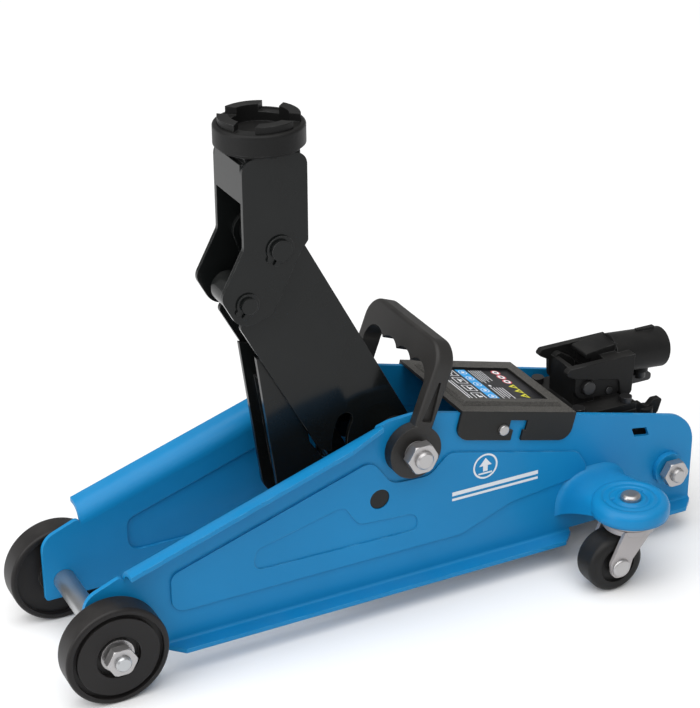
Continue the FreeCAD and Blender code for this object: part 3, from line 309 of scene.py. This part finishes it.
def skin(name, rows, closed):
    """A smooth blue sheet of the frame through rows of points, closed round each row if asked."""
    width = len(rows[0])
    across = width if closed else width - 1
    faces = [(i * width + j, i * width + (j + 1) % width,
              (i + 1) * width + (j + 1) % width, (i + 1) * width + j)
             for i in range(len(rows) - 1) for j in range(across)]
    made = bpy.data.meshes.new(name)
    made.from_pydata([point for row in rows for point in row], [], faces)
    made.validate()
    made.shade_smooth()
    made.materials.append(blue_paint)
    piece = bpy.data.objects.new(name, made)
    collection.objects.link(piece)
    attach(piece, "frame")
    return piece


def arm_arch(t, side, inset):
    """One arch across the arm, t from the plate (0) to the dish (1), inset from its outer face."""
    fillet = (1 - t) ** fillet_reach
    half = arm_half + arm_swell * (1 - t) ** 3 + fillet_swell * fillet - inset
    low = arm_low + arm_lift * t ** 0.8
    top = dish_top - arm_drop - arm_sag * (1 - t) + fillet_rise * fillet - inset
    squareness = 2.6 + 3.0 * t * t      # power of the arch's outline: 2 is round, more is boxy
    y = side * (arm_root_y + (arm_end_y - arm_root_y) * t)
    row = []
    for k in range(arch_facets + 1):
        turn = math.pi * k / arch_facets
        across = math.copysign(abs(math.cos(turn)) ** (2 / squareness), math.cos(turn))
        up = math.sin(turn) ** (2 / squareness) if 0 < k < arch_facets else 0.0
        row.append((caster_x + across * half * side, y, low + (top - low) * up))
    return row


def dish_ring(r, z, side):
    """One circle of points round the caster's axis."""
    turns = [math.tau * k / dish_facets for k in range(dish_facets)]
    return [(caster_x + r * math.cos(turn), side * caster_y + r * math.sin(turn), z) for turn in turns]


for word, side in (("left", 1), ("right", -1)):
    rings = [dish_ring(r, z, side) for r, z in dish_profile + dish_profile[:1]]
    dish = skin("caster_dish_" + word, rings, closed=True)
    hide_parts("caster_bracket_" + word)
    steps = [(k / arm_rows) ** 1.5 for k in range(arm_rows + 1)]     # closer together at the plate
    outer = [arm_arch(t, side, inset=0.0) for t in steps]
    inner = [arm_arch(t, side, inset=sheet) for t in reversed(steps)]
    skin("caster_arm_" + word, outer + inner + outer[:1], closed=False)

# ---- Plate marks --------------------------------------------------------------------------
# White screen printing on the outside of each plate. Where the real one carries lettering this
# is a plain lifting sign: an arrow on a bar inside a ring, over two stripes.
screen_white = jack_finish(
    "screen_white", colour=(0.66, 0.70, 0.73), shade=(0.72, 0.75, 0.78), bare=(0.40, 0.55, 0.68),
    rough=0.42, fine=1200.0, bump=0.06, dust_and_sheen=0.05, specular=0.3)
mark_x, mark_z = -0.0640, 0.0850
ink_height = 0.00006
clear_of_plate = 0.2            # the print is laid on from this far out
ring_outer, ring_inner = 1.0, 0.86      # shares of the ring's radius
ring_radius = 0.0090
ring_facets = 48
arrow = [
    [(-0.0046, 0.0004), (0.0046, 0.0004), (0.0, 0.0060)],                               # head
    [(-0.0017, -0.0036), (0.0017, -0.0036), (0.0017, 0.0004), (-0.0017, 0.0004)],       # shaft
    [(-0.0050, -0.0056), (0.0050, -0.0056), (0.0050, -0.0044), (-0.0050, -0.0044)]]     # bar
stripes = [(-0.0160, -0.0132), (-0.0196, -0.0178)]      # lower and upper edge of each
stripe_start, stripe_length, stripe_parts = -0.040, 0.064, 16

mark_shapes = []
for k in range(ring_facets):
    a, b = math.tau * k / ring_facets, math.tau * (k + 1) / ring_facets
    mark_shapes.append([(ring_radius * share * math.cos(turn), ring_radius * share * math.sin(turn))
                        for share, turn in ((ring_inner, a), (ring_outer, a), (ring_outer, b),
                                            (ring_inner, b))])
mark_shapes += arrow
for low, high in stripes:
    cuts = [stripe_start + stripe_length * k / stripe_parts for k in range(stripe_parts + 1)]
    mark_shapes += [[(a, low), (b, low), (b, high), (a, high)] for a, b in zip(cuts, cuts[1:])]


def print_piece(name, points, faces):
    """An unfinished flat print on the frame."""
    made = bpy.data.meshes.new(name)
    made.from_pydata(points, [], faces)
    piece = bpy.data.objects.new(name, made)
    collection.objects.link(piece)
    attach(piece, "frame")
    return piece


def plate_mark(word, side):
    """The printed sign, each point of it laid on the face of one side plate."""
    plate = nodes["side_plate_" + word]
    to_plate = plate.matrix_world.inverted()
    inward = Vector((0, side, 0))
    points, faces = [], []
    for shape in mark_shapes:
        faces.append(tuple(range(len(points), len(points) + len(shape))))
        for across, up in shape:
            start = Vector((mark_x + across, side * clear_of_plate, mark_z + up))
            from_here = to_plate @ start
            hit = plate.ray_cast(from_here, (to_plate @ (start - inward)) - from_here)[1]
            spot = plate.matrix_world @ hit
            points.append((spot.x, spot.y + side * ink_height, spot.z))
    print_piece("plate_mark_" + word, points, faces).data.materials.append(screen_white)


plate_mark("left", 1)
plate_mark("right", -1)

# ---- Front axle and rollers ---------------------------------------------------------------
# A bare turned bar across the nose carries two cast iron rollers, painted black. Zinc plated
# washers and hexagon nuts hold them on its ends, clear of the plates by short spacers.
zinc_steel = jack_finish(
    "zinc_steel", colour=(0.40, 0.39, 0.39), shade=(0.48, 0.47, 0.47), bare=(0.62, 0.61, 0.61),
    rough=0.34, fine=1500.0, bump=0.08, dust_and_sheen=0.04, metallic=0.85, radius=0.0004)
axle_steel = jack_finish(
    "axle_steel", colour=(0.42, 0.43, 0.44), shade=(0.52, 0.53, 0.54), bare=(0.68, 0.68, 0.68),
    rough=0.32, fine=1200.0, bump=0.10, dust_and_sheen=0.06, metallic=0.95, radius=0.0004)
black_roller = jack_finish(
    "black_roller", colour=(0.010, 0.009, 0.009), shade=(0.015, 0.014, 0.014), bare=(0.06, 0.06, 0.06),
    rough=0.40, fine=800.0, bump=0.16, dust_and_sheen=0.05, coat=0.03, specular=0.2)
coat_pieces(axle_steel, "front_axle")
coat_pieces(zinc_steel, "roller_spacers", "roller_washers", "axle_nuts")
coat_pieces(black_roller, "roller_left", "roller_right")

# ---- Rear tie bolt ------------------------------------------------------------------------
# A long zinc plated bar clamps the plates onto the pump block, with a nut at each end. The
# washers under the nuts are painted over with the plates.
coat_pieces(zinc_steel, "rear_tie_bolt", "tie_bolt_nuts")
coat_pieces(blue_paint, "tie_bolt_washers")

# ---- Hydraulic unit -----------------------------------------------------------------------
# An iron block with an oil reservoir, the ram and its pusher, and the hand pump. The castings
# are satin black with the sand's grain showing through, the rod is chromed, and the pump's
# moving pieces are bare steel.
black_cast = jack_finish(
    "black_cast", colour=(0.007, 0.007, 0.007), shade=(0.012, 0.012, 0.012), bare=(0.06, 0.06, 0.06),
    rough=0.46, fine=450.0, bump=0.35, dust_and_sheen=0.03, radius=0.0008, specular=0.15)
chrome_rod = jack_finish(
    "chrome_rod", colour=(0.60, 0.61, 0.62), shade=(0.66, 0.67, 0.68), bare=(0.72, 0.72, 0.72),
    rough=0.10, fine=2000.0, bump=0.02, dust_and_sheen=0.02, metallic=1.0, radius=0.0003)
coat_pieces(black_cast, "pump_block", "reservoir", "ram_cylinder", "gland_nut", "ram_head",
            "release_valve")
coat_pieces(chrome_rod, "ram_rod")
coat_pieces(axle_steel, "pump_cylinder", "pump_piston")
coat_pieces(zinc_steel, "pump_spring")

# ---- Lift arm, rocker, tie link and saddle bracket ----------------------------------------
# Folded and welded channels in gloss black paint, pinned to each other so that the saddle
# stays level. The arm turns on a zinc plated shaft across the plates, and the ram pushes on a
# bare steel roller in the rocker.
black_paint = jack_finish(
    "black_paint", colour=(0.005, 0.006, 0.006), shade=(0.009, 0.010, 0.010), bare=(0.08, 0.08, 0.08),
    rough=0.17, fine=700.0, bump=0.05, dust_and_sheen=0.03, coat=0.12, specular=0.18)
coat_pieces(black_paint, "lift_arm", "rocker", "tie_link", "saddle_bracket", "head_pin", "link_pin",
            "link_head_pin", "circlips")
coat_pieces(zinc_steel, "lift_pivot_shaft", "pivot_nuts", "ram_pin")
coat_pieces(axle_steel, "ram_roller")
coat_pieces(black_cast, "pivot_spacers")

# ---- Saddle -------------------------------------------------------------------------------
# A cast iron cup with a toothed ring pressed into it. It turns in the saddle bracket's top, and
# a zinc plated clip underneath keeps it there.
coat_pieces(black_cast, "saddle_cup", "saddle_crown")
coat_pieces(zinc_steel, "saddle_clip")

# ---- Handle socket ------------------------------------------------------------------------
# A cast socket for the pump handle, rocking on a pin in a cast yoke bolted to the pump. Its
# roller works the piston, and an oiled thumb screw grips the handle bar.
oiled_steel = jack_finish(
    "oiled_steel", colour=(0.020, 0.020, 0.021), shade=(0.034, 0.034, 0.035), bare=(0.22, 0.22, 0.22),
    rough=0.30, fine=1200.0, bump=0.10, dust_and_sheen=0.04, metallic=0.5, radius=0.0004)
coat_pieces(black_cast, "socket_yoke", "handle_socket")
coat_pieces(axle_steel, "cam_roller")
coat_pieces(oiled_steel, "yoke_bolts", "socket_pin", "cam_pin", "clamp_screw")

# ---- Cover plate --------------------------------------------------------------------------
# A pressed deck over the pump, screwed to the plates through its side tabs. Its black is
# thinner and flatter than the arm's, and an even grey laid over its top is a painted sheen of the
# light from above.
# The large, very fine-grained dust amount here is painted light: it greys the upward faces evenly, as
# light from above would.
flat_black = jack_finish(
    "flat_black", colour=(0.008, 0.008, 0.007), shade=(0.013, 0.013, 0.012), bare=(0.10, 0.10, 0.10),
    rough=0.50, fine=600.0, bump=0.18, dust_and_sheen=0.42, specular=0.30, dust_and_sheen_scale=2000.0)
coat_pieces(flat_black, "cover_plate")
coat_pieces(zinc_steel, "cover_screws")

# ---- Carrying handle ----------------------------------------------------------------------
# A moulded black plastic bail that swings on the ends of the arm's shaft, with a fine leathery
# texture. The oil filler's plug is moulded in the same plastic.
black_plastic = jack_finish(
    "black_plastic", colour=(0.014, 0.013, 0.012), shade=(0.021, 0.020, 0.019), bare=(0.05, 0.05, 0.05),
    rough=0.50, fine=1100.0, bump=0.45, dust_and_sheen=0.04, radius=0.0008, specular=0.35)
coat_pieces(black_plastic, "carry_handle", "filler_plug")

# ---- Casters ------------------------------------------------------------------------------
# Zinc plated races and forks under the blue dishes, each held by a domed bolt through the dish.
# The wheels are moulded black and turn on riveted axles.
grey_zinc = jack_finish(
    "grey_zinc", colour=(0.36, 0.34, 0.34), shade=(0.42, 0.40, 0.40), bare=(0.50, 0.49, 0.49),
    rough=0.42, fine=1300.0, bump=0.10, dust_and_sheen=0.05, metallic=0.4)
black_wheel = jack_finish(
    "black_wheel", colour=(0.008, 0.008, 0.008), shade=(0.013, 0.013, 0.013), bare=(0.04, 0.04, 0.04),
    rough=0.46, fine=900.0, bump=0.20, dust_and_sheen=0.03, specular=0.2)
coat_pieces(grey_zinc, "caster_race_left", "caster_race_right", "caster_fork_left",
            "caster_fork_right")
coat_pieces(zinc_steel, "caster_bolts", "caster_axle_left", "caster_axle_right")
coat_pieces(black_wheel, "caster_wheel_left", "caster_wheel_right")

# ---- Label --------------------------------------------------------------------------------
# A printed film on the cover, with rows of safety pictograms: outlined drawings, a blue band of
# round symbols, plain bars where the text was, red discs and yellow warning triangles.
label_film = jack_finish(
    "label_film", colour=(0.006, 0.006, 0.008), shade=(0.009, 0.009, 0.011), bare=(0.05, 0.05, 0.05),
    rough=0.30, fine=1500.0, bump=0.03, dust_and_sheen=0.02, specular=0.3)
coat_pieces(label_film, "label_plate")
ink_colours = {"white": (0.86, 0.88, 0.90), "blue": (0.02, 0.36, 0.80), "red": (0.62, 0.10, 0.13),
               "yellow": (0.68, 0.64, 0.03), "black": (0.01, 0.01, 0.01)}
inks = {}
for ink, colour in ink_colours.items():
    paler = tuple(min(1.0, 1.08 * channel + 0.004) for channel in colour)
    inks[ink] = jack_finish("ink_" + ink, colour=colour, shade=paler, bare=colour,
                            rough=0.36, fine=1500.0, bump=0.03, dust_and_sheen=0.03, specular=0.3)

deck_slope = 0.2493                 # fall per length going back, as the cover's
ink_layer = 0.00004                 # each layer of ink stands this much above the last
deck = math.atan(deck_slope)
along_deck = Vector((math.cos(deck), 0, math.sin(deck)))
off_deck = Vector((-math.sin(deck), 0, math.cos(deck)))
film_plate = nodes["label_plate"]
corners = [film_plate.matrix_world @ v.co for v in film_plate.data.vertices]
film_front = max(corner.dot(along_deck) for corner in corners)
film_rear = min(corner.dot(along_deck) for corner in corners)
film_side = max(corner.y for corner in corners)
film_top = max(corner.dot(off_deck) for corner in corners)
label_points, label_faces, label_inks = [], [], []


def print_shape(outline, ink, layer):
    """Adds one flat shape, its points given as shares from front to rear and far to near side."""
    start = len(label_points)
    for back, near in outline:
        spot = (along_deck * (film_front + (film_rear - film_front) * back)
                + off_deck * (film_top + ink_layer * layer))
        label_points.append((spot.x, film_side * (2 * near - 1), spot.z))
    label_faces.append(tuple(range(start, start + len(outline))))
    label_inks.append(ink)


def print_bar(front, rear, far, near, ink="white"):
    """A rectangle in the first layer of ink."""
    print_shape([(front, far), (front, near), (rear, near), (rear, far)], ink, 1)


def print_disc(back, near, radius, ink, layer, sides=24, turn=0.0):
    """A round or many-sided shape, kept true although the film is longer than wide."""
    ratio = (film_front - film_rear) / (2 * film_side)
    angles = [turn + math.tau * k / sides for k in range(sides)]
    print_shape([(back - radius * math.cos(angle), near + radius * ratio * math.sin(angle))
                 for angle in angles], ink, layer)


# Two headings, as bars, beside a white triangle.
print_bar(0.045, 0.060, 0.30, 0.97)
print_bar(0.080, 0.092, 0.38, 0.97)
print_disc(0.10, 0.10, 0.055, "white", 1, sides=3)

# Four outlined drawings, each a bar and a disc in a frame of thin lines.
drawing_front, drawing_rear, drawing_width, drawing_pitch, line = 0.135, 0.270, 0.19, 0.245, 0.012
for k in range(4):
    far = 0.04 + drawing_pitch * k
    near = far + drawing_width
    print_bar(drawing_front, drawing_front + line, far, near)
    print_bar(drawing_rear - line, drawing_rear, far, near)
    print_bar(drawing_front + line, drawing_rear - line, far, far + line)
    print_bar(drawing_front + line, drawing_rear - line, near - line, near)
    print_bar(0.185, 0.205, far + 0.04, far + 0.15)
    print_disc(0.222, far + 0.06 + 0.02 * k, 0.018, "white", 1, sides=16)

# The blue band of five round symbols.
print_bar(0.305, 0.430, 0.02, 0.98, "blue")
symbol_row = 0.367
for k in range(5):
    near = 0.11 + 0.195 * k
    print_disc(symbol_row, near, 0.050, "white", 2)
    print_disc(symbol_row, near, 0.041, "blue", 3)
    print_disc(symbol_row, near, 0.024, "white", 4, sides=5 - k % 3, turn=0.4 * k)

# Two blocks of bars in place of text, and a dot between them.
for k in range(6):
    line_end = (0.48 if k % 2 else 0.42) - 0.02 * k
    print_bar(0.468 + 0.030 * k, 0.476 + 0.030 * k, 0.04, line_end)
for k in range(5):
    print_bar(0.480 + 0.036 * k, 0.490 + 0.036 * k, 0.60, 0.95 - 0.05 * (k % 2))
print_disc(0.505, 0.545, 0.020, "white", 1, sides=16)

# Three red discs and three yellow triangles.
sign_row, sign_pitch, triangles_on = 0.80, 0.15, 0.46
for k in range(3):
    near = 0.10 + sign_pitch * k
    print_disc(sign_row, near, 0.056, "red", 1)
    print_disc(sign_row, near, 0.042, "white", 2)
    print_disc(sign_row, near, 0.022, "black", 3, sides=4 + k)
    print_disc(sign_row, near + triangles_on, 0.066, "yellow", 1, sides=3)
    print_disc(sign_row + 0.006, near + triangles_on, 0.026, "black", 2, sides=3)

label_print = print_piece("label_print", label_points, label_faces)
ink_order = sorted(inks)
for ink in ink_order:
    label_print.data.materials.append(inks[ink])
for face, ink in zip(label_print.data.polygons, label_inks):
    face.material_index = ink_order.index(ink)
